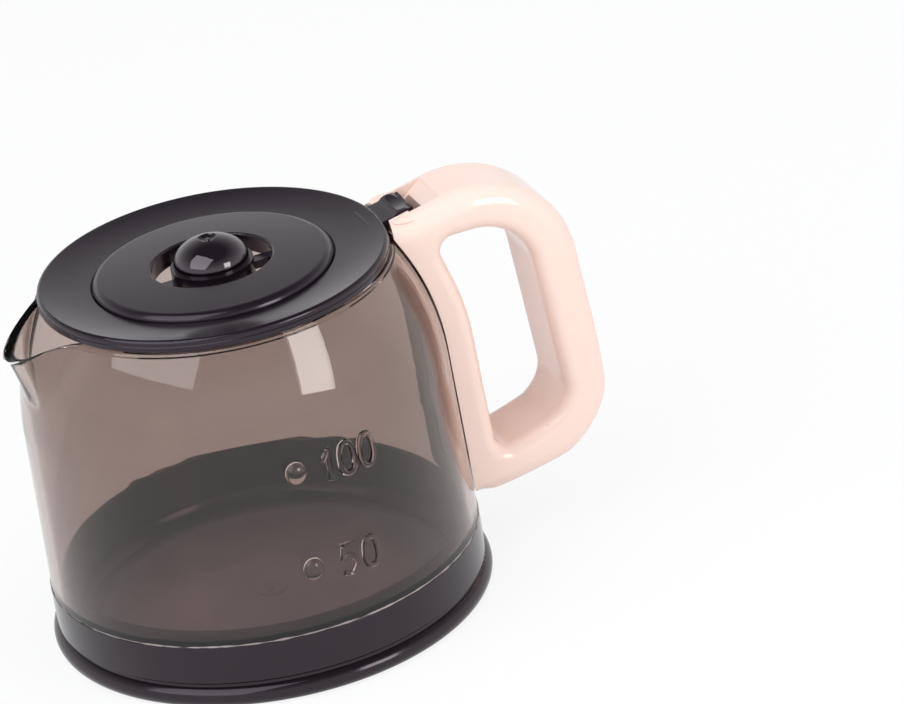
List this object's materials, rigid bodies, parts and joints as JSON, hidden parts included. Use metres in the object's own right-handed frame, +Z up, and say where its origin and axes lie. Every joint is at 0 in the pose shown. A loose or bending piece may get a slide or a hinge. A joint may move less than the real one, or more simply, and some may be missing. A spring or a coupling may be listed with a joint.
{
  "type": "toy coffee jug",
  "caption": "Toy coffee jug: smoky clear body with a pouring spout on a dark base cup, cream D handle, and a hinged dark lid with a dome knob.",
  "frame": {"origin": "centre of the flat foot, on the jug's axis", "axes": "+Z up along the jug's axis, +X towards the handle, -X towards the spout, +Y completes the right-handed frame"},
  "size_m": [0.0939, 0.0696, 0.0631],
  "materials": {
    "smoky_clear": "polished, smoky transparent",
    "dark_base": "satin near-black",
    "dark_lid": "satin near-black",
    "dark_knob": "polished near-black",
    "cream_handle": "glossy cream"
  },
  "bodies": {
    "jug": {"jug_body": "smoky_clear", "base_cup": "dark_base", "handle": "cream_handle"},
    "lid": {"lid_ring": "dark_lid", "lid_insert": "dark_lid", "lid_knob": "dark_knob"}
  },
  "joints": [
    {"name": "lid_hinge", "type": "hinge", "parent": "jug", "child": "lid", "pos_m": [0.0306, 0, 0.0576], "axis": [0, 1, 0], "range_deg": [0, 100]}
  ]
}
